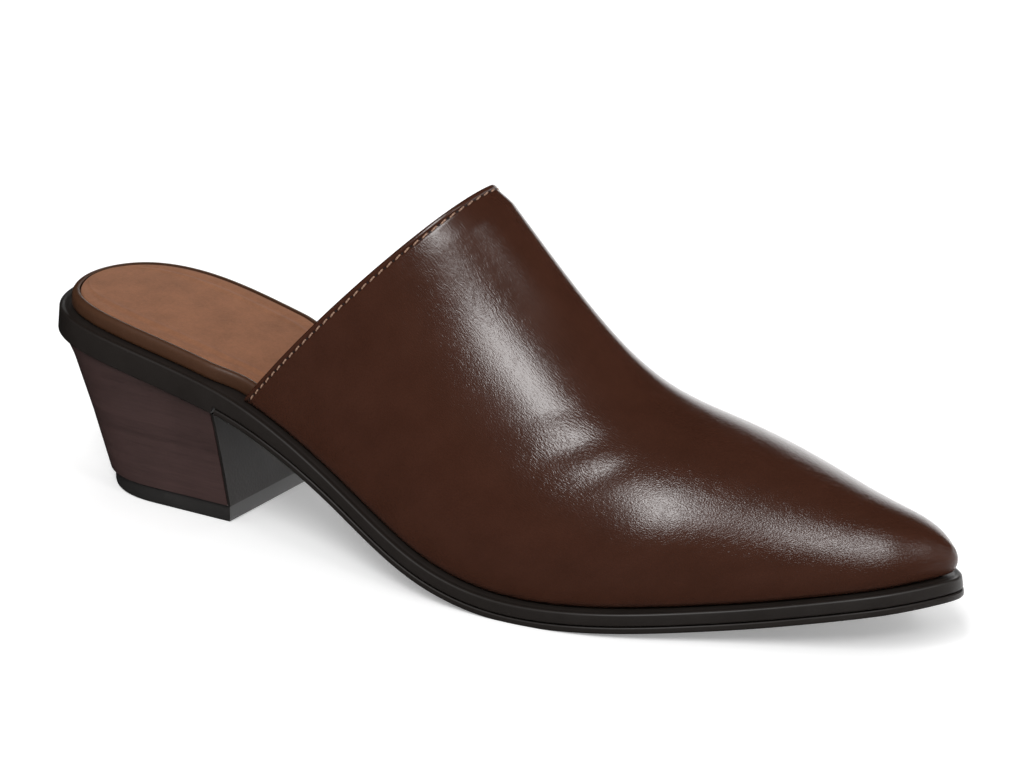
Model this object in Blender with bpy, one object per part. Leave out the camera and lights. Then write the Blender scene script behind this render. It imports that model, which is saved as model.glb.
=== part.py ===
"""Block heel mule, right shoe: a pointed, backless leather slip-on on a stacked block heel.

The frame: +X runs from the heel to the toe, +Y to the inner (medial) side of the foot,
+Z up, and the floor is Z = 0. The origin is the middle of the heel's resting face.
Lengths are metres. Tables hold shares of the named sizes, one row for each section.
"""
import bmesh
import bpy
import numpy as np

# Sole, as seen from above and from the side
sole_length = 0.2688
ball_width = 0.0776
seat_width = 0.0576
toe_swing = 0.0067          # how far the tip lies towards the inner side
toe_swing_from = 0.56       # share of the length where the swing begins
heel_rise = 0.0466          # top of the midsole at the heel above its top at the ball
toe_spring = 0.0143         # the same at the tip
midsole_thickness = 0.0034
outsole_thickness = 0.0019
seat_thickness = 0.0072     # the midsole over the heel, where it is one thick layer
ground_wear = 0.0002        # what the ball's lowest part is flattened by
fit_gap = 0.0003            # between glued pieces

# Upper
upper_wall = 0.0018
instep_height = 0.0628      # ridge at the topline above the midsole
ledge = 0.0031              # midsole beyond the upper

# Insole platform and sock lining
platform_height = 0.0044
platform_ledge = 0.0033     # midsole beyond the platform at the heel
platform_rim = 0.0020       # platform beyond the sock lining
rim_round = 0.0012
sock_thickness = 0.0012
sock_recess = 0.0016        # depth of the platform's tray, which the lining nearly fills
insole_end = 0.965          # share of the length where insole and lining stop in the toe

# Heel
heel_back = 0.0158          # resting face's back, from the back of the sole
heel_front = 0.0665         # resting face's front
heel_width = 0.0440
heel_corner = 0.0245        # radius of the resting face's round back
heel_inset = 0.0016         # block's top inside the midsole
breast_top = 0.0645         # block's front at the top, from the back of the sole
top_piece_height = 0.0048
breast_cover_thickness = 0.0008

# Finish
edge_break = 0.0004         # small rounding of cut sole edges


def table(names, *rows):
    """Columns by name from rows of values."""
    return {name: [row[i] for row in rows] for i, name in enumerate(names.split())}


# Outline of the sole: shares of its length, and of the seat's or the ball's width
outline_rows = table(
    "along follows lateral medial",
    (0.000, "seat", 0.000, 0.000),
    (0.029, "seat", 0.345, 0.345),
    (0.104, "seat", 0.490, 0.490),
    (0.200, "seat", 0.500, 0.486),
    (0.305, "ball", 0.399, 0.322),
    (0.409, "ball", 0.446, 0.303),
    (0.509, "ball", 0.508, 0.354),
    (0.606, "ball", 0.517, 0.445),
    (0.699, "ball", 0.483, 0.477),
    (0.789, "ball", 0.380, 0.432),
    (0.870, "ball", 0.294, 0.335),
    (0.941, "ball", 0.211, 0.222),
    (0.985, "ball", 0.090, 0.090),
    (1.000, "ball", 0.000, 0.000),
)

# Side profile of the midsole's top: shares of the length and of the named rise
profile_rows = table(
    "along follows rise",
    (0.00, "heel", 1.000),
    (0.10, "heel", 0.926),
    (0.20, "heel", 0.816),
    (0.28, "heel", 0.708),
    (0.36, "heel", 0.521),
    (0.44, "heel", 0.290),
    (0.52, "heel", 0.090),
    (0.60, "heel", 0.000),
    (0.68, "toe", 0.035),
    (0.76, "toe", 0.168),
    (0.84, "toe", 0.385),
    (0.92, "toe", 0.706),
    (1.00, "toe", 1.000),
)

# Sections of the upper, from the toe's front to the topline. Each stands on the sole's
# outline at foot and rises to the ridge. A wall swings out by its bulge before it turns
# in, and its crown says how far the flat of the ridge reaches.
#   foot, ridge: shares of the length        height: share of the instep's height
#   off_middle: share of the tip's swing     bulges: shares of the ball's width
#   crowns: shares of the half width
section_rows = table(
    "foot ridge height off_middle lateral_bulge medial_bulge lateral_crown medial_crown",
    (1.0000, 0.9925, 0.102, 1.00, 0.042, 0.042, 0.60, 0.60),
    (0.9955, 0.9905, 0.122, 1.00, 0.038, 0.038, 0.62, 0.62),
    (0.9725, 0.9740, 0.186, 0.99, 0.031, 0.031, 0.64, 0.64),
    (0.9450, 0.9440, 0.256, 0.95, 0.034, 0.033, 0.63, 0.62),
    (0.9083, 0.8984, 0.338, 0.88, 0.042, 0.039, 0.62, 0.60),
    (0.8057, 0.8371, 0.512, 0.75, 0.064, 0.052, 0.60, 0.60),
    (0.6902, 0.7626, 0.664, 0.63, 0.089, 0.077, 0.55, 0.60),
    (0.5585, 0.6845, 0.774, 0.52, 0.110, 0.103, 0.50, 0.60),
    (0.4092, 0.5990, 0.810, 0.53, 0.123, 0.129, 0.45, 0.60),
    (0.2782, 0.5010, 1.000, 0.54, 0.125, 0.142, 0.71, 0.43),
)
wall_turn = 0.52            # share of a section's height where its wall has swung out most

# The heel block between its top and its foot: how much of the taper is done
heel_rows = table(
    "down taper",
    (0.00, 0.00),
    (0.13, 0.19),
    (0.50, 0.56),
    (1.00, 1.00),
)

# How finely the forms are divided
heel_stations = 9
waist_stations = 26
toe_stations = 8
toe_share = 0.2             # part of the upper's sections that lies round the toe
toe_sections = 9
upper_sections = 25
upper_columns = 12
block_levels = (0.0, 0.07, 0.15, 0.35, 0.6, 0.8, 1.0)

LATERAL, MEDIAL = -1, 1
origin = np.array([(heel_back + heel_front) / 2, 0.0, 0.0])
sole_thickness = midsole_thickness + fit_gap + outsole_thickness
ball_top = sole_thickness - ground_wear


def spline(xs, ys, x, flat_start=False, flat_end=False):
    """Cubic spline through the points, with natural or flat ends."""
    xs, ys, x = (np.asarray(v, float) for v in (xs, ys, x))
    step = np.diff(xs)
    slope = np.diff(ys) / step
    count = len(xs)
    system = np.eye(count)
    right = np.zeros(count)
    for i in range(1, count - 1):
        system[i, i - 1:i + 2] = step[i - 1], 2 * (step[i - 1] + step[i]), step[i]
        right[i] = 6 * (slope[i] - slope[i - 1])
    if flat_start:
        system[0, :2] = 2 * step[0], step[0]
        right[0] = 6 * slope[0]
    if flat_end:
        system[-1, -2:] = step[-1], 2 * step[-1]
        right[-1] = -6 * slope[-1]
    bend = np.linalg.solve(system, right)
    i = np.clip(np.searchsorted(xs, x) - 1, 0, count - 2)
    a = (xs[i + 1] - x) / step[i]
    b = (x - xs[i]) / step[i]
    curve = ((a ** 3 - a) * bend[i] + (b ** 3 - b) * bend[i + 1]) * step[i] ** 2 / 6
    return a * ys[i] + b * ys[i + 1] + curve


def ease(x, start, end):
    """Smooth step from 0 at start to 1 at end."""
    k = np.clip((x - start) / (end - start), 0, 1)
    return k * k * (3 - 2 * k)


outline_x = np.array(outline_rows["along"]) * sole_length
outline_scale = np.array([{"seat": seat_width, "ball": ball_width}[name]
                          for name in outline_rows["follows"]])
outline_half = {LATERAL: np.array(outline_rows["lateral"]) * outline_scale,
                MEDIAL: np.array(outline_rows["medial"]) * outline_scale}
last_row = len(outline_x) - 1
row_numbers = np.arange(last_row + 1)

profile_x = np.array(profile_rows["along"]) * sole_length
profile_z = ball_top + np.array(profile_rows["rise"]) * np.array(
    [{"heel": heel_rise, "toe": toe_spring}[name] for name in profile_rows["follows"]])


def outline_along(q):
    """Distance from the back of the sole at a place q, counted in rows of the outline."""
    return spline(row_numbers, outline_x, q, True, True)


def row_at(x):
    """The place on the outline, in rows, at a distance from the back."""
    fine = np.linspace(0, last_row, 4001)
    return np.interp(x, outline_along(fine), fine)


def middle(x):
    """The sole's middle line swings to the inner side before the toe."""
    return toe_swing * ease(x, toe_swing_from * sole_length, sole_length)


def outline(q, side, inset=0.0):
    """Point of the sole's outline on one side, moved inwards by the inset."""
    def point(place):
        x = outline_along(place)
        return np.stack([x, side * spline(row_numbers, outline_half[side], place) + middle(x)], -1)

    q = np.asarray(q, float)
    near = 0.001
    run = point(np.clip(q + near, 0, last_row)) - point(np.clip(q - near, 0, last_row))
    run = run / np.linalg.norm(run, axis=-1, keepdims=True)
    inward = np.stack([run[..., 1], -run[..., 0]], -1) * side
    inward = np.where((q < near)[..., None], [1.0, 0.0], inward)
    inward = np.where((q > last_row - near)[..., None], [-1.0, 0.0], inward)
    return point(q) + inward * (inset + 0 * q)[..., None]


def outward(q, side):
    """Unit direction square to the outline, in plan."""
    return outline(q, side) - outline(q, side, 1.0)


def seat(x):
    """Height of the midsole's top."""
    return spline(profile_x, profile_z, x)


def seat_normal(x):
    """Direction square to the midsole's top, in the side view."""
    near = 0.0005
    rise = (seat(x + near) - seat(x - near)) / (2 * near)
    normal = np.stack([-rise, 0 * rise, 1 + 0 * rise], -1)
    return normal / np.linalg.norm(normal, axis=-1, keepdims=True)


def place(q, side, inset, height):
    """Point on the sole: so far in from its edge, and so high over the midsole's top."""
    flat = outline(q, side, inset)
    x = flat[..., 0]
    base = np.stack([x, flat[..., 1], seat(x)], -1)
    return base + seat_normal(x) * np.asarray(height + 0 * x)[..., None]


def full_thickness(x):
    """Midsole and outsole together, thick at the seat and thin under the ball."""
    return seat_thickness + (sole_thickness - seat_thickness) * ease(
        x, 0.85 * breast_top, 0.43 * sole_length)


def underside(q, side, inset, gap=0.0):
    """Point on the whole sole's underside, or a gap below it."""
    return place(q, side, inset, -full_thickness(outline_along(q)) - gap)


def row_below(x):
    """The place on the outline whose underside, square to the sole, lies at x."""
    fine = np.linspace(1, last_row / 2, 2001)
    return float(np.interp(x, underside(fine, LATERAL, heel_inset)[:, 0], fine))


breast_front = breast_top + fit_gap + breast_cover_thickness + fit_gap
step_rows = row_below(breast_front), row_below(breast_front + 2 * fit_gap)


def midsole_depth(q):
    """The midsole steps up in front of the heel, where the outsole begins."""
    step = ease(q, *step_rows)
    return full_thickness(outline_along(q)) - step * (outsole_thickness + fit_gap)


def stations(start=0.0, end=None):
    """Places along the outline, close together round the heel and the toe."""
    end = last_row if end is None else end
    q = np.concatenate([np.linspace(0, 2, heel_stations),
                        np.linspace(2, last_row - 2, waist_stations),
                        np.linspace(last_row - 2, last_row, toe_stations)])
    q = q[(q > start + 0.05) & (q < end - 0.05)]
    return np.unique(np.concatenate([[start], q, [end]]))


def new_mesh(name, points, faces, material, smooth_angle=0.7):
    """A node: points are welded where they coincide, and faces left without area go."""
    index = {}
    unique = []
    keep = []
    for point in np.asarray(points, float).reshape(-1, 3) - origin:
        key = tuple(np.round(point, 6))
        if key not in index:
            index[key] = len(unique)
            unique.append(tuple(point))
        keep.append(index[key])
    clean = []
    for face in faces:
        ring = [keep[i] for i in face]
        ring = [v for i, v in enumerate(ring) if v != ring[i - 1]]
        if len(set(ring)) == len(ring) > 2:
            clean.append(ring)
    mesh = bpy.data.meshes.new(name)
    mesh.from_pydata(unique, [], clean)
    bm = bmesh.new()
    bm.from_mesh(mesh)
    bmesh.ops.recalc_face_normals(bm, faces=bm.faces)
    bmesh.ops.triangulate(bm, faces=bm.faces)
    bm.to_mesh(mesh)
    bm.free()
    mesh.shade_smooth()
    mesh.set_sharp_from_angle(angle=smooth_angle)
    mesh.materials.append(material)
    node = bpy.data.objects.new(name, mesh)
    shoe.objects.link(node)
    return node


def loft(name, rings, material):
    """Closed rings joined in order. A ring runs up the lateral side and down the medial
    one, so that its two halves can also be joined across, which closes both ends."""
    rings = np.asarray(rings)
    count, size = rings.shape[:2]
    half = size // 2
    faces = []
    for i in range(count - 1):
        for j in range(size):
            k = (j + 1) % size
            faces.append((i * size + j, i * size + k, (i + 1) * size + k, (i + 1) * size + j))
    for i in (0, count - 1):
        for j in range(half - 1):
            k = size - 1 - j
            faces.append((i * size + j, i * size + j + 1, i * size + k - 1, i * size + k))
    return new_mesh(name, rings, faces, material)


def layer_rings(q, profile, floor=None):
    """Rings of a layer of the sole. The profile gives inset and height, bottom to top."""
    rows = [place(q, LATERAL, inset, height) for inset, height in profile]
    rows += [place(q, MEDIAL, inset, height) for inset, height in reversed(profile)]
    rings = np.stack(rows, 1)
    if floor is not None:
        rings[..., 2] = np.maximum(rings[..., 2], floor)
    return rings


def make_midsole(material):
    q = np.unique(np.concatenate([stations(), step_rows]))
    depth = midsole_depth(q)
    profile = [(edge_break, -depth), (0, edge_break - depth), (0, -edge_break), (edge_break, 0)]
    loft("midsole", layer_rings(q, profile), material)


def make_outsole(material):
    q = stations(start=row_below(breast_front + 4 * fit_gap))
    bottom = -full_thickness(outline_along(q))
    top = bottom + outsole_thickness
    profile = [(2 * edge_break, bottom), (0, bottom + 2 * edge_break), (0, top)]
    loft("outsole", layer_rings(q, profile, floor=0.0), material)


def platform_inset(x):
    """The platform lies near the edge at the heel and inside the upper's wall further on."""
    inside = ledge + upper_wall + 2 * fit_gap
    return platform_ledge + (inside - platform_ledge) * ease(
        x, 0.225 * sole_length, section_rows["foot"][-1] * sole_length - upper_wall)


def make_platform(material):
    q = stations(end=float(row_at(insole_end * sole_length)))
    inset = platform_inset(outline_along(q))
    tray = inset + platform_rim
    top = fit_gap + platform_height
    profile = [(inset + edge_break, fit_gap), (inset, fit_gap + edge_break),
               (inset, top - rim_round), (inset + 0.3 * rim_round, top - 0.3 * rim_round),
               (inset + rim_round, top), (tray, top - edge_break),
               (tray, top - sock_recess)]
    loft("insole_platform", layer_rings(q, profile), material)


def make_sock(material):
    q = stations(end=float(row_at(insole_end * sole_length) - 0.06))
    inset = platform_inset(outline_along(q)) + platform_rim + fit_gap
    bottom = fit_gap + platform_height - sock_recess + fit_gap
    top = bottom + sock_thickness
    profile = [(inset, bottom), (inset, top - edge_break), (inset + edge_break, top)]
    loft("sock_lining", layer_rings(q, profile), material)


def section_net(s):
    """Control points of the upper's sections at s, from 0 at the toe to 1 at the topline:
    foot, wall, crown and ridge of the lateral side, then crown, wall and foot again."""
    last = len(section_rows["foot"]) - 1
    rows = np.arange(last + 1)
    at = np.asarray(s, float) * last
    foot_rows = row_at(np.array(section_rows["foot"]) * sole_length)
    q = np.clip(spline(rows, foot_rows, at), 0, last_row)
    height = np.array(section_rows["height"]) * instep_height
    height = height + seat(np.array(section_rows["foot"]) * sole_length)
    off = np.array(section_rows["off_middle"]) * toe_swing
    ridge = np.stack([spline(rows, np.array(section_rows["ridge"]) * sole_length, at, True),
                      spline(rows, off, at, True), spline(rows, height, at, True)], -1)
    sides = []
    for side, name in ((LATERAL, "lateral"), (MEDIAL, "medial")):
        bulge = spline(rows, np.array(section_rows[name + "_bulge"]) * ball_width, at, True)
        crown = spline(rows, section_rows[name + "_crown"], at, True)
        foot = place(q, side, ledge, fit_gap)
        wall = foot + (ridge - foot) * [wall_turn, 0, wall_turn]
        wall[:, :2] += outward(q, side) * bulge[:, None]
        top = ridge.copy()
        top[:, 1] += (foot[:, 1] - ridge[:, 1]) * crown
        sides.append((foot, wall, top))
    (a, b, c), (g, f, e) = sides
    return np.stack([a, b, c, ridge, e, f, g], 1)


def upper_surface(s, t):
    """Grid of points on the upper's outside: t runs from the lateral foot to the medial."""
    net = section_net(s)
    columns = []
    for share in t:
        first = 0 if share <= 0.5 else 3
        k = 2 * share - (0 if share <= 0.5 else 1)
        a, b, c, d = (net[:, first + i] for i in range(4))
        columns.append(a * (1 - k) ** 3 + 3 * b * k * (1 - k) ** 2
                       + 3 * c * k * k * (1 - k) + d * k ** 3)
    return np.stack(columns, 1)


def upper_normals(s, t):
    """Outward directions of the upper's outside, the same on both halves at the toe."""
    near = 0.002
    s = np.maximum(s, 2 * near)
    ds = upper_surface(np.clip(s + near, 0, 1), t) - upper_surface(s - near, t)
    before, after = np.clip(t - near, 0, 1), np.clip(t + near, 0, 1)
    dt = upper_surface(s, after) - upper_surface(s, before)
    normal = np.cross(dt, ds)
    normal /= np.linalg.norm(normal, axis=-1, keepdims=True)
    toe = (normal[0] + normal[0, ::-1]) / 2
    normal[0] = toe / np.linalg.norm(toe, axis=-1, keepdims=True)
    return normal


def make_upper(material):
    """One hollow shell: outside, inside, topline edge and the edge that meets the sole."""
    s = np.concatenate([np.linspace(0, toe_share, toe_sections)[:-1],
                        np.linspace(toe_share, 1, upper_sections)])
    t = np.linspace(0, 1, 2 * upper_columns + 1)
    outside = upper_surface(s, t)
    inside = outside - upper_normals(s, t) * upper_wall
    for column in (0, -1):
        inside[:, column, 2] = seat(inside[:, column, 0]) + fit_gap
    rows, columns = outside.shape[:2]
    size = rows * columns
    faces = []
    for i in range(rows - 1):
        for j in range(columns - 1):
            a = i * columns + j
            quad = (a, a + 1, a + columns + 1, a + columns)
            faces.append(quad)
            faces.append(tuple(size + v for v in reversed(quad)))
        for a in (i * columns, (i + 1) * columns - 1):
            faces.append((a, a + columns, size + a + columns, size + a))
    for j in range(columns - 1):
        a = (rows - 1) * columns + j
        faces.append((a, a + 1, size + a + 1, size + a))
    new_mesh("upper", np.concatenate([outside, inside]), faces, material)


def breast_line(down):
    """The front of the block leans forward a little on its way down."""
    return breast_top + (heel_front - breast_top) * down


def heel_half(side, level, low):
    """Half outline of the heel, from its front corner to the middle of its back, at a
    level from 0, under the midsole, to 1, at the height low."""
    q = stations(end=row_below(breast_top))[::-1]
    top = underside(q, side, heel_inset, fit_gap)
    z = top[:, 2] + (low - top[:, 2]) * level
    down = 1 - z / top[:, 2]
    taper = np.interp(down, heel_rows["down"], heel_rows["taper"])
    turn = (1 - q / q[0]) * np.pi / 2
    x = heel_front + (heel_back - heel_front) * np.sin(turn)
    round_share = np.clip(1 - (x - heel_back) / heel_corner, 0, 1)
    y = side * heel_width / 2 * np.sqrt(1 - round_share ** 2.2)
    flat = top[:, :2] + (np.stack([x, y], -1) - top[:, :2]) * taper[:, None]
    flat[:, 0] = np.minimum(flat[:, 0], breast_line(down))
    flat[0, 0] = breast_line(down[0])
    return np.column_stack([flat, z])


def heel_ring(level, low):
    return np.concatenate([heel_half(LATERAL, level, low), heel_half(MEDIAL, level, low)[::-1]])


def make_block(material):
    low = top_piece_height + fit_gap
    loft("heel_block", [heel_ring(level, low) for level in block_levels], material)


def make_top_piece(material):
    foot = heel_ring(1, 0.0)
    lid = heel_ring(1, top_piece_height)
    loft("heel_top_piece", [lid, foot], material)


def make_breast_cover(material):
    """A thin plate on the block's front, as wide as the block at each level."""
    low = top_piece_height + fit_gap
    under_sole = underside(step_rows[0], LATERAL, heel_inset, 2 * fit_gap)[2]
    rings = []
    for share in block_levels:
        z = under_sole + (low - under_sole) * share
        corners = []
        for side in (LATERAL, MEDIAL):
            edge = np.array([heel_half(side, level, low)[0] for level in block_levels])
            x, y = (np.interp(-z, -edge[:, 2], edge[:, i]) for i in (0, 1))
            back = x + fit_gap
            front = back + breast_cover_thickness
            corners.append([(back, y, z), (front, y, z)])
        rings.append(corners[0] + corners[1][::-1])
    loft("heel_breast_cover", rings, material)


def finish(name, colour, roughness):
    """A plain Principled BSDF in the piece's colour."""
    material = bpy.data.materials.new(name)
    material.use_nodes = True
    shader = material.node_tree.nodes["Principled BSDF"]
    shader.inputs["Base Color"].default_value = (*colour, 1)
    shader.inputs["Roughness"].default_value = roughness
    shader.inputs["Metallic"].default_value = 0.0
    material.diffuse_color = (*colour, 1)
    return material


for thing in list(bpy.data.objects):
    bpy.data.objects.remove(thing, do_unlink=True)
shoe = bpy.data.collections.new("block_heel_mule")
bpy.context.scene.collection.children.link(shoe)

make_midsole(finish("midsole_black", (0.030, 0.023, 0.020), 0.45))
make_outsole(finish("outsole_black", (0.026, 0.022, 0.020), 0.50))
make_platform(finish("platform_brown_leather", (0.055, 0.025, 0.016), 0.42))
make_sock(finish("sock_lining_tan", (0.36, 0.17, 0.10), 0.70))
make_upper(finish("upper_brown_leather", (0.072, 0.024, 0.014), 0.35))
make_block(finish("stacked_leather", (0.085, 0.050, 0.046), 0.45))
make_breast_cover(finish("breast_black", (0.012, 0.010, 0.009), 0.50))
make_top_piece(finish("top_piece_black", (0.022, 0.020, 0.019), 0.60))
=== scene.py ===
"""Looks of the block heel mule: a pointed, backless leather slip-on, right shoe.

Laid out as a Blender add-on and run as a script. The frame is the CAD's: +X from heel to
toe, +Y to the inner (medial) side of the foot, +Z up, floor at Z = 0, metres. The origin
is the middle of the heel's resting face. The shoe's own sizes below are those of the CAD.
"""

import math

import bmesh
import bpy
import numpy as np
from mathutils import Matrix, Quaternion, Vector


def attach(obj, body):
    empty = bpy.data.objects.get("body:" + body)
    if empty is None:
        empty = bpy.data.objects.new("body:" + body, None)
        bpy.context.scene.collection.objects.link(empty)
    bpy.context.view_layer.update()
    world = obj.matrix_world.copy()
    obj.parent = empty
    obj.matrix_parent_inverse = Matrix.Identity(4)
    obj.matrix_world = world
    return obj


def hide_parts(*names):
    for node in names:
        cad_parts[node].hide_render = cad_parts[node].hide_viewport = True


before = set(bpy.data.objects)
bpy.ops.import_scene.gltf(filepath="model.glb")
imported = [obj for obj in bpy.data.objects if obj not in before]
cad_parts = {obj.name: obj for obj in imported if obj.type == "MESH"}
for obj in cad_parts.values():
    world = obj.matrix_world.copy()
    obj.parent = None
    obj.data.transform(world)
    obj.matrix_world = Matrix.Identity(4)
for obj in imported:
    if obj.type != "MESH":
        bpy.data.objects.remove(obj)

bl_info = {
    "name": "Block Heel Mule",
    "version": (1, 0, 0),
    "blender": (4, 5, 0),
    "location": "3D View > Sidebar > Mule",
    "description": "Leather upper, insole, sole and stacked heel of a pointed mule",
    "category": "Object",
}

BODY = "root"
LATERAL, MEDIAL = -1, 1
MM = 0.001

# Sole, as seen from above and from the side
sole_length = 0.2688
ball_width = 0.0776
seat_width = 0.0576
toe_swing = 0.0067
toe_swing_from = 0.56
heel_rise = 0.0466
toe_spring = 0.0143
midsole_thickness = 0.0034
outsole_thickness = 0.0019
seat_thickness = 0.0072
ground_wear = 0.0002
fit_gap = 0.0003

# Upper
upper_wall = 0.0018
instep_height = 0.0628
ledge = 0.0031

# Insole platform and sock lining
platform_height = 0.0044
platform_ledge = 0.0033
platform_rim = 0.0020
sock_thickness = 0.0012
sock_recess = 0.0016
insole_end = 0.965

# Heel
heel_back = 0.0158
heel_front = 0.0665
heel_width = 0.0440
heel_corner = 0.0245
heel_inset = 0.0016
breast_top = 0.0645
top_piece_height = 0.0048
breast_cover_thickness = 0.0008


def table(names, *rows):
    """Columns by name from rows of values."""
    return {name: [row[i] for row in rows] for i, name in enumerate(names.split())}


# Outline of the sole: shares of its length, and of the seat's or the ball's width
outline_rows = table(
    "along follows lateral medial",
    (0.000, "seat", 0.000, 0.000),
    (0.029, "seat", 0.345, 0.345),
    (0.104, "seat", 0.490, 0.490),
    (0.200, "seat", 0.500, 0.486),
    (0.305, "ball", 0.399, 0.322),
    (0.409, "ball", 0.446, 0.303),
    (0.509, "ball", 0.508, 0.354),
    (0.606, "ball", 0.517, 0.445),
    (0.699, "ball", 0.483, 0.477),
    (0.789, "ball", 0.380, 0.432),
    (0.870, "ball", 0.294, 0.335),
    (0.941, "ball", 0.211, 0.222),
    (0.985, "ball", 0.090, 0.090),
    (1.000, "ball", 0.000, 0.000),
)

# Side profile of the midsole's top: shares of the length and of the named rise
profile_rows = table(
    "along follows rise",
    (0.00, "heel", 1.000),
    (0.10, "heel", 0.926),
    (0.20, "heel", 0.816),
    (0.28, "heel", 0.708),
    (0.36, "heel", 0.521),
    (0.44, "heel", 0.290),
    (0.52, "heel", 0.090),
    (0.60, "heel", 0.000),
    (0.68, "toe", 0.035),
    (0.76, "toe", 0.168),
    (0.84, "toe", 0.385),
    (0.92, "toe", 0.706),
    (1.00, "toe", 1.000),
)

# Sections of the upper from the toe's front to the topline, as in the CAD
section_rows = table(
    "foot ridge height off_middle lateral_bulge medial_bulge lateral_crown medial_crown",
    (1.0000, 0.9925, 0.102, 1.00, 0.042, 0.042, 0.60, 0.60),
    (0.9955, 0.9905, 0.122, 1.00, 0.038, 0.038, 0.62, 0.62),
    (0.9725, 0.9740, 0.186, 0.99, 0.031, 0.031, 0.64, 0.64),
    (0.9450, 0.9440, 0.256, 0.95, 0.034, 0.033, 0.63, 0.62),
    (0.9083, 0.8984, 0.338, 0.88, 0.042, 0.039, 0.62, 0.60),
    (0.8057, 0.8371, 0.512, 0.75, 0.064, 0.052, 0.60, 0.60),
    (0.6902, 0.7626, 0.664, 0.63, 0.089, 0.077, 0.55, 0.60),
    (0.5585, 0.6845, 0.774, 0.52, 0.110, 0.103, 0.50, 0.60),
    (0.4092, 0.5990, 0.810, 0.53, 0.123, 0.129, 0.45, 0.60),
    (0.2782, 0.5010, 1.000, 0.54, 0.125, 0.142, 0.71, 0.43),
)
wall_turn = 0.52

# Topline: the leather is drawn in round its peak
peak_draw_depth = 0.0015
peak_draw_reach = 0.0080    # from the edge
peak_draw_share = 0.11      # of the way round, from the ridge

# The heel block between its top and its foot: how much of the taper is done
heel_rows = table(
    "down taper",
    (0.00, 0.00),
    (0.13, 0.19),
    (0.50, 0.56),
    (1.00, 1.00),
)

origin = np.array([(heel_back + heel_front) / 2, 0.0, 0.0])
sole_thickness = midsole_thickness + fit_gap + outsole_thickness
ball_top = sole_thickness - ground_wear

# Creases of the vamp: places on the upper as (share from toe to topline, share from the
# lateral foot to the medial one), then width and depth in millimetres
creases = (
    (((0.806, 0.205), (0.783, 0.275), (0.760, 0.350)), 3.2, 0.20),
    (((0.762, 0.200), (0.735, 0.265), (0.712, 0.330)), 2.8, 0.13),
    (((0.845, 0.235), (0.826, 0.290), (0.806, 0.340)), 2.2, 0.07),
)


def spline(xs, ys, x, flat_start=False, flat_end=False):
    """Cubic spline through the points, with natural or flat ends."""
    xs, ys, x = (np.asarray(v, float) for v in (xs, ys, x))
    step = np.diff(xs)
    slope = np.diff(ys) / step
    count = len(xs)
    system = np.eye(count)
    right = np.zeros(count)
    for i in range(1, count - 1):
        system[i, i - 1:i + 2] = step[i - 1], 2 * (step[i - 1] + step[i]), step[i]
        right[i] = 6 * (slope[i] - slope[i - 1])
    if flat_start:
        system[0, :2] = 2 * step[0], step[0]
        right[0] = 6 * slope[0]
    if flat_end:
        system[-1, -2:] = step[-1], 2 * step[-1]
        right[-1] = -6 * slope[-1]
    bend = np.linalg.solve(system, right)
    i = np.clip(np.searchsorted(xs, x) - 1, 0, count - 2)
    a = (xs[i + 1] - x) / step[i]
    b = (x - xs[i]) / step[i]
    curve = ((a ** 3 - a) * bend[i] + (b ** 3 - b) * bend[i + 1]) * step[i] ** 2 / 6
    return a * ys[i] + b * ys[i + 1] + curve


def ease(x, start, end):
    """Smooth step from 0 at start to 1 at end."""
    k = np.clip((x - start) / (end - start), 0, 1)
    return k * k * (3 - 2 * k)


def hump(x, middle, width):
    """A soft hump of height 1."""
    return np.exp(-((x - middle) / width) ** 2)


outline_x = np.array(outline_rows["along"]) * sole_length
outline_scale = np.array([{"seat": seat_width, "ball": ball_width}[name]
                          for name in outline_rows["follows"]])
outline_half = {LATERAL: np.array(outline_rows["lateral"]) * outline_scale,
                MEDIAL: np.array(outline_rows["medial"]) * outline_scale}
last_row = len(outline_x) - 1
row_numbers = np.arange(last_row + 1)

profile_x = np.array(profile_rows["along"]) * sole_length
profile_z = ball_top + np.array(profile_rows["rise"]) * np.array(
    [{"heel": heel_rise, "toe": toe_spring}[name] for name in profile_rows["follows"]])


def outline_along(q):
    """Distance from the back of the sole at a place q, counted in rows of the outline."""
    return spline(row_numbers, outline_x, q, True, True)


def row_at(x):
    """The place on the outline, in rows, at a distance from the back."""
    fine = np.linspace(0, last_row, 4001)
    return np.interp(x, outline_along(fine), fine)


def middle(x):
    """The sole's middle line swings to the inner side before the toe."""
    return toe_swing * ease(x, toe_swing_from * sole_length, sole_length)


def outline(q, side, inset=0.0):
    """Point of the sole's outline on one side, moved inwards by the inset."""
    def point(place):
        x = outline_along(place)
        return np.stack([x, side * spline(row_numbers, outline_half[side], place) + middle(x)], -1)

    q = np.asarray(q, float)
    near = 0.001
    run = point(np.clip(q + near, 0, last_row)) - point(np.clip(q - near, 0, last_row))
    run = run / np.linalg.norm(run, axis=-1, keepdims=True)
    inward = np.stack([run[..., 1], -run[..., 0]], -1) * side
    inward = np.where((q < near)[..., None], [1.0, 0.0], inward)
    inward = np.where((q > last_row - near)[..., None], [-1.0, 0.0], inward)
    return point(q) + inward * (inset + 0 * q)[..., None]


def outward(q, side):
    """Unit direction square to the outline, in plan."""
    return outline(q, side) - outline(q, side, 1.0)


def seat(x):
    """Height of the midsole's top."""
    return spline(profile_x, profile_z, x)


def seat_normal(x):
    """Direction square to the midsole's top, in the side view."""
    near = 0.0005
    rise = (seat(x + near) - seat(x - near)) / (2 * near)
    normal = np.stack([-rise, 0 * rise, 1 + 0 * rise], -1)
    return normal / np.linalg.norm(normal, axis=-1, keepdims=True)


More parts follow.
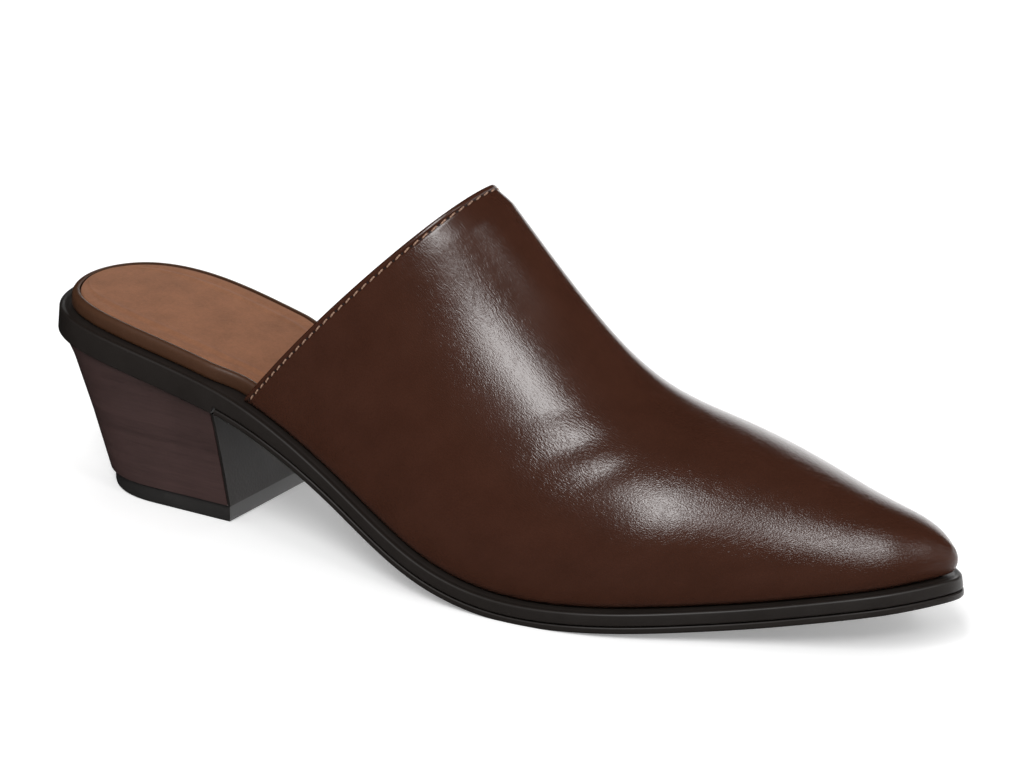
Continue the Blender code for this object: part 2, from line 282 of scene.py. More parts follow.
def place(q, side, inset, height):
    """Point on the sole: so far in from its edge, and so high over the midsole's top."""
    flat = outline(q, side, inset)
    x = flat[..., 0]
    base = np.stack([x, flat[..., 1], seat(x)], -1)
    return base + seat_normal(x) * np.asarray(height + 0 * x)[..., None]


def full_thickness(x):
    """Midsole and outsole together, thick at the seat and thin under the ball."""
    return seat_thickness + (sole_thickness - seat_thickness) * ease(
        x, 0.85 * breast_top, 0.43 * sole_length)


def underside(q, side, inset, gap=0.0):
    """Point on the whole sole's underside, or a gap below it."""
    return place(q, side, inset, -full_thickness(outline_along(q)) - gap)


def row_below(x):
    """The place on the outline whose underside, square to the sole, lies at x."""
    fine = np.linspace(1, last_row / 2, 2001)
    return float(np.interp(x, underside(fine, LATERAL, heel_inset)[:, 0], fine))


breast_front = breast_top + fit_gap + breast_cover_thickness + fit_gap
step_rows = row_below(breast_front), row_below(breast_front + 2 * fit_gap)


def midsole_depth(q):
    """The midsole steps up in front of the heel, where the outsole begins."""
    step = ease(q, *step_rows)
    return full_thickness(outline_along(q)) - step * (outsole_thickness + fit_gap)


def stations(start=0.0, end=last_row, more=()):
    """Places along the outline, close together round the heel and the toe."""
    q = np.concatenate([np.linspace(0, 2, 60), np.linspace(2, last_row - 2, 150),
                        np.linspace(last_row - 2, last_row, 60), more])
    q = q[(q > start + 0.004) & (q < end - 0.004)]
    return np.unique(np.concatenate([[start], q, [end]]))


def platform_inset(x):
    """The platform lies near the edge at the heel and inside the upper's wall further on."""
    inside = ledge + upper_wall + 2 * fit_gap
    return platform_ledge + (inside - platform_ledge) * ease(
        x, 0.225 * sole_length, section_rows["foot"][-1] * sole_length - upper_wall)


def section_net(s):
    """Control points of the upper's sections at s, from 0 at the toe to 1 at the topline."""
    last = len(section_rows["foot"]) - 1
    rows = np.arange(last + 1)
    at = np.asarray(s, float) * last
    foot_rows = row_at(np.array(section_rows["foot"]) * sole_length)
    q = np.clip(spline(rows, foot_rows, at), 0, last_row)
    height = np.array(section_rows["height"]) * instep_height
    height = height + seat(np.array(section_rows["foot"]) * sole_length)
    off = np.array(section_rows["off_middle"]) * toe_swing
    ridge = np.stack([spline(rows, np.array(section_rows["ridge"]) * sole_length, at, True),
                      spline(rows, off, at, True), spline(rows, height, at, True)], -1)
    sides = []
    for side, name in ((LATERAL, "lateral"), (MEDIAL, "medial")):
        bulge = spline(rows, np.array(section_rows[name + "_bulge"]) * ball_width, at, True)
        crown = spline(rows, section_rows[name + "_crown"], at, True)
        foot = place(q, side, ledge, fit_gap)
        wall = foot + (ridge - foot) * [wall_turn, 0, wall_turn]
        wall[:, :2] += outward(q, side) * bulge[:, None]
        top = ridge.copy()
        top[:, 1] += (foot[:, 1] - ridge[:, 1]) * crown
        sides.append((foot, wall, top))
    (a, b, c), (g, f, e) = sides
    return np.stack([a, b, c, ridge, e, f, g], 1)


def upper_surface(s, t):
    """Grid of points on the upper's outside: t runs from the lateral foot to the medial."""
    net = section_net(s)
    columns = []
    for share in t:
        first = 0 if share <= 0.5 else 3
        k = 2 * share - (0 if share <= 0.5 else 1)
        a, b, c, d = (net[:, first + i] for i in range(4))
        columns.append(a * (1 - k) ** 3 + 3 * b * k * (1 - k) ** 2
                       + 3 * c * k * k * (1 - k) + d * k ** 3)
    return np.stack(columns, 1)


def breast_line(down):
    """The front of the block leans forward a little on its way down."""
    return breast_top + (heel_front - breast_top) * down


def heel_half(side, level, low):
    """Half outline of the heel at a level from 0, under the midsole, to 1, at the height low."""
    q = stations(end=row_below(breast_top))[::-1]
    top = underside(q, side, heel_inset, fit_gap)
    z = top[:, 2] + (low - top[:, 2]) * level
    down = 1 - z / top[:, 2]
    taper = np.interp(down, heel_rows["down"], heel_rows["taper"])
    turn = (1 - q / q[0]) * np.pi / 2
    x = heel_front + (heel_back - heel_front) * np.sin(turn)
    round_share = np.clip(1 - (x - heel_back) / heel_corner, 0, 1)
    y = side * heel_width / 2 * np.sqrt(1 - round_share ** 2.2)
    flat = top[:, :2] + (np.stack([x, y], -1) - top[:, :2]) * taper[:, None]
    flat[:, 0] = np.minimum(flat[:, 0], breast_line(down))
    flat[0, 0] = breast_line(down[0])
    return np.column_stack([flat, z])


class Skin:
    """The upper's outside, measured from the topline: points, directions and shares."""

    def __init__(self, columns):
        self.t = np.linspace(0, 1, columns)
        self.s = 1 - np.linspace(0, 1, 801) ** 1.15
        grid = upper_surface(self.s, self.t)
        steps = np.linalg.norm(np.diff(grid, axis=0), axis=-1)
        self.grid = grid
        self.run = np.concatenate([np.zeros((1, columns)), np.cumsum(steps, axis=0)])

    def rows(self, near, far_count):
        """Points and outward directions at distances near the topline, then on to the toe."""
        last = near[-1]
        share = np.linspace(0, 1, far_count + 1)[1:]
        points = []
        for j in range(len(self.t)):
            length = self.run[-1, j]
            at = np.concatenate([near, last + (length - last) * share])
            points.append(np.stack([np.interp(at, self.run[:, j], self.grid[:, j, k])
                                    for k in range(3)], -1))
        points = np.stack(points, 1)
        down = np.gradient(points, axis=0)
        across = np.gradient(points, axis=1)
        normal = np.cross(down, across)
        size = np.linalg.norm(normal, axis=-1, keepdims=True)
        normal = normal / np.maximum(size, 1e-12)
        normal[-1] = normal[-2]
        toe = (normal[-1] + normal[-1, ::-1]) / 2
        normal[-1] = toe / np.linalg.norm(toe, axis=-1, keepdims=True)
        return points, normal


def peak_draw(away, t):
    """How far the topline is drawn in round its peak, at a distance from its edge."""
    return (peak_draw_depth * (1 - ease(away, 0, peak_draw_reach))
            * hump(t, 0.5, peak_draw_share))


def crease_relief(points):
    """Depth of the vamp's soft creases at each point, with a low swell on both sides."""
    relief = np.zeros(points.shape[:2])
    for path, width, depth in creases:
        knots = np.arange(len(path))
        fine = np.linspace(0, knots[-1], 60)
        s = np.interp(fine, knots, [p[0] for p in path])
        t = np.interp(fine, knots, [p[1] for p in path])
        line = np.stack([upper_surface([a], [b])[0, 0] for a, b in zip(s, t)])
        fade = np.sin(np.linspace(0, np.pi, len(line))) ** 0.8
        gap = np.full(points.shape[:2], 1.0)
        share = np.zeros(points.shape[:2])
        for point, strength in zip(line, fade):
            away = np.linalg.norm(points - point, axis=-1)
            closer = away < gap
            gap = np.where(closer, away, gap)
            share = np.where(closer, strength, share)
        k = gap / (width * MM)
        relief -= depth * MM * share * (1 - 0.55 * k ** 2) * np.exp(-0.5 * k ** 2)
    return relief


def srgb(text):
    """Linear colour from an sRGB hex value."""
    values = [int(text[i:i + 2], 16) / 255 for i in (1, 3, 5)]
    return tuple(v / 12.92 if v <= 0.04045 else ((v + 0.055) / 1.055) ** 2.4 for v in values) + (1,)


def feed(tree, node, inputs):
    """Set a node's inputs, or link them to other nodes."""
    for name, value in inputs.items():
        if isinstance(value, bpy.types.NodeSocket):
            tree.links.new(value, node.inputs[name])
        else:
            node.inputs[name].default_value = value


def add(tree, kind, settings=None, inputs=None):
    """Add a node, change its settings, and set its inputs or link them to other nodes."""
    node = tree.nodes.new("ShaderNode" + kind)
    for name, value in (settings or {}).items():
        setattr(node, name, value)
    feed(tree, node, inputs or {})
    return node


def two_tone(tree, factor, colour, darker, lighter):
    """A colour that drifts between a darker and a lighter tone of itself."""
    dark = [c * darker for c in colour[:3]] + [1]
    light = [min(c * lighter, 1) for c in colour[:3]] + [1]
    return add(tree, "Mix", {"data_type": "RGBA"}, {"Factor": factor, 6: dark, 7: light}).outputs[2]


def spread(tree, value, low, high):
    """A value from 0 to 1, spread between low and high."""
    return add(tree, "MapRange", {}, {"Value": value, "To Min": low, "To Max": high}).outputs[0]


def new_material(name, colour):
    """An empty node tree with its Principled shader, which every finish starts from."""
    material = bpy.data.materials.new(name)
    material.use_nodes = True
    material.diffuse_color = colour
    tree = material.node_tree
    tree.nodes.clear()
    shader = add(tree, "BsdfPrincipled")
    output = add(tree, "OutputMaterial")
    tree.links.new(shader.outputs["BSDF"], output.inputs["Surface"])
    return material, tree, shader


def new_piece(name, points, faces, material, replaced=(), uv=None, smooth_angle=0.7,
              weld=1e-6):
    """A piece of the shoe that rides on its body and stands for the CAD nodes named."""
    mesh = bpy.data.meshes.new(name)
    points = np.asarray(points, float).reshape(-1, 3) - origin
    mesh.from_pydata(points.tolist(), [], faces)
    if uv is not None:
        layer = mesh.uv_layers.new(name="lay")
        corner = np.empty(len(mesh.loops), int)
        mesh.loops.foreach_get("vertex_index", corner)
        layer.data.foreach_set("uv", np.asarray(uv, float).reshape(-1, 2)[corner].ravel())
    bm = bmesh.new()
    bm.from_mesh(mesh)
    bmesh.ops.remove_doubles(bm, verts=bm.verts, dist=weld)
    bmesh.ops.dissolve_degenerate(bm, dist=weld, edges=bm.edges)
    bmesh.ops.recalc_face_normals(bm, faces=bm.faces)
    bm.to_mesh(mesh)
    bm.free()
    mesh.shade_smooth()
    mesh.set_sharp_from_angle(angle=smooth_angle)
    mesh.materials.append(material)
    piece = bpy.data.objects.new(name, mesh)
    bpy.context.scene.collection.objects.link(piece)
    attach(piece, BODY)
    if replaced:
        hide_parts(*replaced)
    return piece


def grid_faces(rows, columns, first=0):
    """Quads of a grid of points stored row by row."""
    faces = []
    for i in range(rows - 1):
        for j in range(columns - 1):
            a = first + i * columns + j
            faces.append((a, a + 1, a + columns + 1, a + columns))
    return faces


def loft_faces(count, size):
    """Quads between closed rings, each of which runs up one side and down the other."""
    half = size // 2
    faces = []
    for i in range(count - 1):
        for j in range(size):
            k = (j + 1) % size
            faces.append((i * size + j, i * size + k, (i + 1) * size + k, (i + 1) * size + j))
    for i in (0, count - 1):
        for j in range(half - 1):
            k = size - 1 - j
            faces.append((i * size + j, i * size + j + 1, i * size + k - 1, i * size + k))
    return faces


def tube_faces(first, rings, sides):
    """Quads between rings of points that start at a number."""
    faces = []
    for i in range(rings - 1):
        a = first + i * sides
        for k in range(sides):
            n = (k + 1) % sides
            faces.append((a + k, a + n, a + sides + n, a + sides + k))
    return faces


def layer_rings(q, profile, floor=None):
    """Rings of a layer of the sole. The profile gives inset and height, bottom to top."""
    rows = [place(q, LATERAL, inset, height) for inset, height in profile]
    rows += [place(q, MEDIAL, inset, height) for inset, height in reversed(profile)]
    rings = np.stack(rows, 1)
    if floor is not None:
        rings[..., 2] = np.maximum(rings[..., 2], floor)
    return rings


class MuleSizes(bpy.types.PropertyGroup):
    """Sizes of the leather, thread and finish."""

    skin: bpy.props.FloatProperty(
        name="Upper leather", description="Thickness of the outer leather",
        default=0.0011, unit="LENGTH", precision=5)
    fold_swell: bpy.props.FloatProperty(
        name="Folded edge", description="How far the turned-in edge stands proud",
        default=0.00022, unit="LENGTH", precision=5)
    stitch_pitch: bpy.props.FloatProperty(
        name="Stitch pitch", description="From one stitch of the topline to the next",
        default=0.0030, unit="LENGTH", precision=5)
    stitch_margin: bpy.props.FloatProperty(
        name="Stitch margin", description="From the folded edge to the row of stitches",
        default=0.0016, unit="LENGTH", precision=5)
    thread: bpy.props.FloatProperty(
        name="Thread", description="Thickness of the topline thread",
        default=0.00044, unit="LENGTH", precision=5)
    grain: bpy.props.FloatProperty(
        name="Grain", description="Width of a pebble of the leather's grain",
        default=0.0007, unit="LENGTH", precision=5)
    border: bpy.props.FloatProperty(
        name="Sock border", description="From the sock lining's edge to its pressed border",
        default=0.0050, unit="LENGTH", precision=5)
    lift: bpy.props.FloatProperty(
        name="Heel lift", description="Thickness of one lift of the stacked heel",
        default=0.0032, unit="LENGTH", precision=5)


class MuleColours(bpy.types.PropertyGroup):
    """Colours of the leathers, thread and rubber."""

    upper: bpy.props.FloatVectorProperty(
        name="Upper", description="Brown leather of the upper",
        subtype="COLOR", size=4, min=0, max=1, default=srgb("#3b2117"))
    lining: bpy.props.FloatVectorProperty(
        name="Lining", description="Natural leather inside the upper",
        subtype="COLOR", size=4, min=0, max=1, default=srgb("#b08663"))
    thread: bpy.props.FloatVectorProperty(
        name="Thread", description="Topline stitches",
        subtype="COLOR", size=4, min=0, max=1, default=srgb("#a5826c"))
    platform: bpy.props.FloatVectorProperty(
        name="Platform", description="Leather wrapped round the insole platform",
        subtype="COLOR", size=4, min=0, max=1, default=srgb("#472c1b"))
    sock: bpy.props.FloatVectorProperty(
        name="Sock lining", description="Tan nubuck under the foot",
        subtype="COLOR", size=4, min=0, max=1, default=srgb("#855a41"))
    sole: bpy.props.FloatVectorProperty(
        name="Sole", description="Black rubber of midsole and outsole",
        subtype="COLOR", size=4, min=0, max=1, default=srgb("#221d1a"))
    stack: bpy.props.FloatVectorProperty(
        name="Heel stack", description="Stained lifts of the heel",
        subtype="COLOR", size=4, min=0, max=1, default=srgb("#3e2c2a"))
    breast: bpy.props.FloatVectorProperty(
        name="Heel breast", description="Black leather on the heel's front",
        subtype="COLOR", size=4, min=0, max=1, default=srgb("#1b1512"))
    top_piece: bpy.props.FloatVectorProperty(
        name="Top piece", description="Rubber that the heel stands on",
        subtype="COLOR", size=4, min=0, max=1, default=srgb("#262423"))


def upper_leather(sizes, colours):
    # Full-grain calf leather, dyed through and polished: a fine pebbled grain that breaks
    # its wide soft highlight into speckles, drawn out into fine lines where it bends.
    # The real grain is about 0.4 mm wide and is drawn at 0.7 mm, so that it shows.
    material, tree, shader = new_material("calf_leather_polished_brown", colours.upper)
    lay = add(tree, "UVMap", {"uv_map": "lay"})
    drift = add(tree, "TexNoise", {"noise_dimensions": "2D"},
                {"Vector": lay.outputs["UV"], "Scale": 0.35, "Detail": 3.0})
    shift = add(tree, "VectorMath", {"operation": "SCALE"},
                {0: drift.outputs["Color"], "Scale": 1.2})
    loose = add(tree, "VectorMath", {"operation": "ADD"},
                {0: lay.outputs["UV"], 1: shift.outputs["Vector"]})
    size = sizes.grain / MM
    patterns = []
    for turn, width, length in ((0, 0.50, 0.80), (0, 0.50, 3.4), (-58, 0.52, 1.9)):
        lay_out = add(tree, "Mapping", {}, {
            "Vector": loose.outputs["Vector"], "Rotation": (0, 0, math.radians(turn)),
            "Scale": (1 / (width * size), 1 / (length * size), 1)})
        pattern = add(tree, "TexNoise", {"noise_dimensions": "2D"},
                      {"Vector": lay_out.outputs["Vector"], "Scale": 1.0, "Detail": 1.5,
                       "Roughness": 0.5})
        patterns.append(pattern.outputs["Fac"])
    pebbles, lines, bent_lines = patterns
    along = add(tree, "Attribute", {"attribute_name": "drawn_grain"})
    flex = add(tree, "Attribute", {"attribute_name": "flexed_grain"})
    soft_lines = spread(tree, lines, 0.2, 0.8)
    first = add(tree, "Mix", {}, {"Factor": along.outputs["Fac"], 2: pebbles, 3: soft_lines})
    height = add(tree, "Mix", {}, {"Factor": flex.outputs["Fac"], 2: first.outputs[0],
                                   3: bent_lines})
    bump = add(tree, "Bump", {}, {"Height": height.outputs[0], "Strength": 1.0,
                                  "Distance": 0.00006})
    mottle = add(tree, "TexNoise", {"noise_dimensions": "2D"},
                 {"Vector": lay.outputs["UV"], "Scale": 0.08, "Detail": 5.0, "Roughness": 0.6})
    tone = two_tone(tree, mottle.outputs["Fac"], colours.upper, 0.80, 1.18)
    # painted shade and light on the grain: its valleys are painted darker and its crests lighter,
    # following the bump's height
    painted_grain_shade = add(tree, "MapRange", {}, {"Value": height.outputs[0], "From Min": 0.2,
                                        "From Max": 0.8, "To Min": 0.86, "To Max": 1.06})
    colour = add(tree, "Mix", {"data_type": "RGBA", "blend_type": "MULTIPLY"},
                 {"Factor": 1.0, 6: tone, 7: painted_grain_shade.outputs["Result"]})
    gloss = spread(tree, mottle.outputs["Fac"], 0.18, 0.23)
    feed(tree, shader, {"Base Color": colour.outputs[2], "Roughness": gloss,
                        "Normal": bump.outputs["Normal"], "IOR": 1.5})
    return material


def plain_leather(name, colour, grain, roughness, depth=0.0001):
    """Leather whose grain lies in the object's own millimetres."""
    material, tree, shader = new_material(name, colour)
    where = add(tree, "TexCoord")
    cells = add(tree, "TexVoronoi", {"feature": "SMOOTH_F1"},
                {"Vector": where.outputs["Object"], "Scale": 1 / grain, "Smoothness": 0.7})
    mottle = add(tree, "TexNoise", {}, {"Vector": where.outputs["Object"], "Scale": 90.0,
                                        "Detail": 5.0, "Roughness": 0.6})
    tone = two_tone(tree, mottle.outputs["Fac"], colour, 0.78, 1.2)
    bump = add(tree, "Bump", {}, {"Height": cells.outputs["Distance"], "Strength": 0.4,
                                  "Distance": depth})
    gloss = spread(tree, mottle.outputs["Fac"], roughness - 0.06, roughness + 0.06)
    feed(tree, shader, {"Base Color": tone, "Roughness": gloss,
                        "Normal": bump.outputs["Normal"]})
    return material


def lining_leather(sizes, colours):
    # Vegetable-tanned pigskin lining, undyed: matt, pale and slightly uneven.
    return plain_leather("lining_leather_natural", colours.lining, 0.0009, 0.62)


def platform_leather(sizes, colours):
    # Thin calf leather stretched round the platform's edge: smooth, with a soft gloss.
    return plain_leather("calf_leather_wrapped_brown", colours.platform, 0.0008, 0.40)


def breast_leather(sizes, colours):
    # Black leather glued on the heel's front: fine grain, dull gloss.
    return plain_leather("breast_leather_black", colours.breast, 0.0008, 0.72)


def sock_nubuck(sizes, colours):
    # Nubuck, leather buffed on its grain side: a matt nap with cloudy lighter and darker
    # places where it was brushed, and tiny lighter specks.
    material, tree, shader = new_material("nubuck_buffed_tan", colours.sock)
    where = add(tree, "TexCoord")
    cloud = add(tree, "TexNoise", {}, {"Vector": where.outputs["Object"], "Scale": 95.0,
                                       "Detail": 7.0, "Roughness": 0.72})
    nap = add(tree, "TexNoise", {}, {"Vector": where.outputs["Object"], "Scale": 1300.0,
                                     "Detail": 3.0, "Roughness": 0.7})
    both = add(tree, "Mix", {}, {"Factor": 0.38, 2: cloud.outputs["Fac"], 3: nap.outputs["Fac"]})
    ramp = add(tree, "MapRange", {}, {"Value": both.outputs[0], "From Min": 0.30,
                                      "From Max": 0.70})
    tone = two_tone(tree, ramp.outputs["Result"], colours.sock, 0.74, 1.24)
    bump = add(tree, "Bump", {}, {"Height": nap.outputs["Fac"], "Strength": 0.5,
                                  "Distance": 0.0002})
    feed(tree, shader, {"Base Color": tone, "Normal": bump.outputs["Normal"],
                        "Roughness": 0.85, "Specular IOR Level": 0.2,
                        "Sheen Weight": 0.05, "Sheen Roughness": 0.4})
    return material


def thread_finish(sizes, colours):
    # Bonded polyester thread: two plies whose twist shows as slanting bands.
    material, tree, shader = new_material("thread_bonded_tan", colours.thread)
    where = add(tree, "TexCoord")
    twist = add(tree, "TexWave", {"bands_direction": "DIAGONAL"},
                {"Vector": where.outputs["Object"], "Scale": 420.0, "Distortion": 1.0})
    tone = two_tone(tree, twist.outputs["Fac"], colours.thread, 0.55, 1.0)
    bump = add(tree, "Bump", {}, {"Height": twist.outputs["Fac"], "Strength": 0.5,
                                  "Distance": 0.0001})
    feed(tree, shader, {"Base Color": tone, "Normal": bump.outputs["Normal"],
                        "Roughness": 0.55})
    return material


def hole_fibre_and_shade_finish(sizes, colours):
    # Inside of a needle hole: the cut fibre's own dark brown with painted shade of the hole over it,
    # matt and nearly black.
    colour = [c * 0.25 for c in colours.upper[:3]] + [1]
    return plain_leather("needle_hole_fibre_and_painted_shade", colour, 0.0004, 0.85)


def sole_rubber(name, colour, roughness):
    """Moulded rubber: an even dull black with a very fine tooth and faint scuffs."""
    material, tree, shader = new_material(name, colour)
    where = add(tree, "TexCoord")
    tooth = add(tree, "TexNoise", {}, {"Vector": where.outputs["Object"], "Scale": 1500.0,
                                       "Detail": 2.0})
    scuff = add(tree, "TexNoise", {}, {"Vector": where.outputs["Object"], "Scale": 120.0,
                                       "Detail": 5.0, "Roughness": 0.65})
    tone = two_tone(tree, scuff.outputs["Fac"], colour, 0.8, 1.25)
    gloss = spread(tree, scuff.outputs["Fac"], roughness - 0.08, roughness + 0.08)
    bump = add(tree, "Bump", {}, {"Height": tooth.outputs["Fac"], "Strength": 0.25,
                                  "Distance": 0.0001})
    feed(tree, shader, {"Base Color": tone, "Roughness": gloss,
                        "Normal": bump.outputs["Normal"]})
    return material


def stack_finish(sizes, colours):
    # Stacked leather lifts, sanded, stained and waxed: thin horizontal lines between the
    # lifts, uneven tone from one lift to the next, and a short fibre across them.
    material, tree, shader = new_material("stacked_leather_stained", colours.stack)
    where = add(tree, "TexCoord")
    flat = add(tree, "Mapping", {}, {"Vector": where.outputs["Object"],
                                     "Scale": (9.0, 9.0, 1 / sizes.lift)})
    lifts = add(tree, "TexNoise", {}, {"Vector": flat.outputs["Vector"], "Scale": 1.0,
                                       "Detail": 3.0, "Roughness": 0.6})
    fibre_lay = add(tree, "Mapping", {}, {"Vector": where.outputs["Object"],
                                          "Scale": (160.0, 160.0, 2600.0)})
    fibre = add(tree, "TexNoise", {}, {"Vector": fibre_lay.outputs["Vector"], "Scale": 1.0,
                                       "Detail": 3.0, "Roughness": 0.6})
    stain = add(tree, "TexNoise", {}, {"Vector": where.outputs["Object"], "Scale": 60.0,
                                       "Detail": 4.0})
    both = add(tree, "Mix", {}, {"Factor": 0.35, 2: lifts.outputs["Fac"],
                                 3: fibre.outputs["Fac"]})
    all_three = add(tree, "Mix", {}, {"Factor": 0.25, 2: both.outputs[0],
                                      3: stain.outputs["Fac"]})
    ramp = add(tree, "MapRange", {}, {"Value": all_three.outputs[0], "From Min": 0.35,
                                      "From Max": 0.65})
    tone = two_tone(tree, ramp.outputs["Result"], colours.stack, 0.72, 1.28)
    bump = add(tree, "Bump", {}, {"Height": both.outputs[0], "Strength": 0.25,
                                  "Distance": 0.0002})
    feed(tree, shader, {"Base Color": tone, "Normal": bump.outputs["Normal"],
                        "Roughness": 0.42})
    return material


def floor_finish():
    # White opal acrylic of a light table: matt, glowing faintly from below.
    material, tree, shader = new_material("opal_acrylic_white", (0.9, 0.9, 0.9, 1))
    material.cycles.emission_sampling = "NONE"
    fibre = add(tree, "TexNoise", {}, {"Scale": 400.0})
    tone = add(tree, "Mix", {"data_type": "RGBA"},
               {"Factor": fibre.outputs["Fac"], 6: (0.90, 0.90, 0.90, 1),
                7: (0.93, 0.93, 0.93, 1)})
    feed(tree, shader, {"Base Color": tone.outputs[2], "Roughness": 0.9,
                        "Specular IOR Level": 0.1, "Emission Color": (1, 1, 1, 1),
                        "Emission Strength": 0.25})
    return material


def wall_finish():
    # White backdrop cloth lit evenly from the front, so it glows.
    material, tree, shader = new_material("backdrop_cloth_white", (1, 1, 1, 1))
    weave = add(tree, "TexNoise", {}, {"Scale": 60.0})
    feed(tree, shader, {"Base Color": (0.8, 0.8, 0.8, 1), "Roughness": 0.9,
                        "Emission Color": (1, 1, 1, 1),
                        "Emission Strength": spread(tree, weave.outputs["Fac"], 0.95, 1.05)})
    material.cycles.emission_sampling = "NONE"
    return material


class MULE_OT_upper(bpy.types.Operator):
    """Build the outer leather of the upper, with its folded topline and its creases"""

    bl_idname = "mule.upper"
    bl_label = "Upper Leather"

    def execute(self, context):
        sizes = context.scene.mule_sizes
        colours = context.scene.mule_colours
        skin = Skin(181)
        radius = sizes.skin / 2
        near = np.array([0, 0.3, 0.55, 0.75, 0.95, 1.1, 1.25, 1.4, 1.6, 1.8, 2.0, 2.3, 2.7, 3.3,
                         4.2, 5.2, 6.2]) * MM
        points, normals = skin.rows(near, 150)
        away = np.concatenate([near, np.full(150, 0.05)])[:, None]
        swell = sizes.fold_swell * hump(away, 0.0008, 0.0006)
        groove_depth, groove_width = 0.00020, 0.00035
        groove = groove_depth * hump(away, sizes.stitch_margin, groove_width)
        relief = swell - groove + crease_relief(points)
        edge = points[0].copy()
        points = points - normals * peak_draw(away, skin.t)[..., None]
        outer = points + normals * relief[..., None]
        # the foot of the wall tucks in a little where it was lasted over the insole
        tuck, tuck_height = 0.0004, 0.0016
        height = np.linalg.norm(points - points[:, :1], axis=-1)
        height = np.minimum(height, np.linalg.norm(points - points[:, -1:], axis=-1))
        outer -= normals * (tuck * (1 - ease(height, 0, tuck_height)))[..., None]
        # the turned edge: half round over the leather's thickness, then back down inside
        down = points[1:3].mean(axis=0) - points[0]
        down /= np.linalg.norm(down, axis=-1, keepdims=True)
        rows = []
        for depth in (0.0070, 0.0035, 0.0012):
            inward = sizes.skin + peak_draw(depth, skin.t)[:, None]
            rows.append(edge + down * depth - normals[2] * inward)
        start = outer[2]
        for angle in np.linspace(math.pi, 0, 9)[:-1]:
            rows.append(start - down * (radius * math.sin(angle))
                        - normals[2] * (radius * (1 - math.cos(angle))))
        outer = np.concatenate([np.stack(rows), outer[2:]])
        foot = outer[:, [0, -1]] - np.concatenate([np.zeros((len(rows), 2, 3)),
                                                   normals[2:, [0, -1]] * sizes.skin])
        foot[..., 2] = np.minimum(foot[..., 2], outer[:, [0, -1], 2])
        outer = np.concatenate([foot[:, :1], outer, foot[:, 1:]], axis=1)
        count, columns = outer.shape[:2]
        step = np.linalg.norm(np.diff(outer, axis=1), axis=-1)
        across = np.concatenate([np.zeros((count, 1)), np.cumsum(step, axis=1)], axis=1)
        across -= across[:, columns // 2][:, None]
        run = np.linalg.norm(np.diff(outer, axis=0), axis=-1)
        run = np.concatenate([np.zeros((1, columns)), np.cumsum(run, axis=0)])
        uv = np.stack([across / MM, run / MM], -1)
        piece = new_piece("upper_skin", outer, grid_faces(count, columns),
                          upper_leather(sizes, colours), ("upper",), uv,
                          smooth_angle=1.2)
        places = np.array([v.co[:] for v in piece.data.vertices]) + origin
        # spots where the grain is drawn or flexed: their middle, and how far they reach
        drawn = (0.148, -0.012, 0.088, 0.030), (0.172, -0.014, 0.070, 0.026)
        flexed = ((0.175, -0.032, 0.042, 0.020),)
        for name, spots in (("drawn_grain", drawn), ("flexed_grain", flexed)):
            layer = piece.data.attributes.new(name, "FLOAT", "POINT")
            value = np.zeros(len(places))
            for x, y, z, reach in spots:
                value = np.maximum(value, np.exp(-(np.linalg.norm(
                    places - [x, y, z], axis=1) / reach) ** 2))
            layer.data.foreach_set("value", np.clip(value * 1.15, 0, 1))
        return {"FINISHED"}


class MULE_OT_lining(bpy.types.Operator):
    """Build the leather lining inside the upper, which stops just short of the fold"""

    bl_idname = "mule.lining"
    bl_label = "Upper Lining"

    def execute(self, context):
        sizes = context.scene.mule_sizes
        colours = context.scene.mule_colours
        skin = Skin(121)
        near = np.array([0.7, 1.0, 2.0, 4.0, 7.0]) * MM
        points, normals = skin.rows(near, 90)
        away = np.concatenate([near, np.full(90, 0.05)])[:, None]
        points = points - normals * peak_draw(away, skin.t)[..., None]
        outer = sizes.skin + 0.00005
        rows = []
        for row, depth in ((4, outer), (2, outer), (1, outer), (0, outer + 0.00015),
                           (0, upper_wall - 0.0002)):
            rows.append(points[row] - normals[row] * depth)
        inside = points[1:] - normals[1:] * upper_wall
        inside = np.concatenate([np.stack(rows), inside])
        for column in (0, -1):
            floor = seat(inside[:, column, 0]) + fit_gap
            inside[:, column, 2] = np.where(inside[:, column, 2] < floor + 0.002, floor,
                                            inside[:, column, 2])
        new_piece("upper_lining", inside, grid_faces(*inside.shape[:2]),
                  lining_leather(sizes, colours), smooth_angle=1.0)
        return {"FINISHED"}


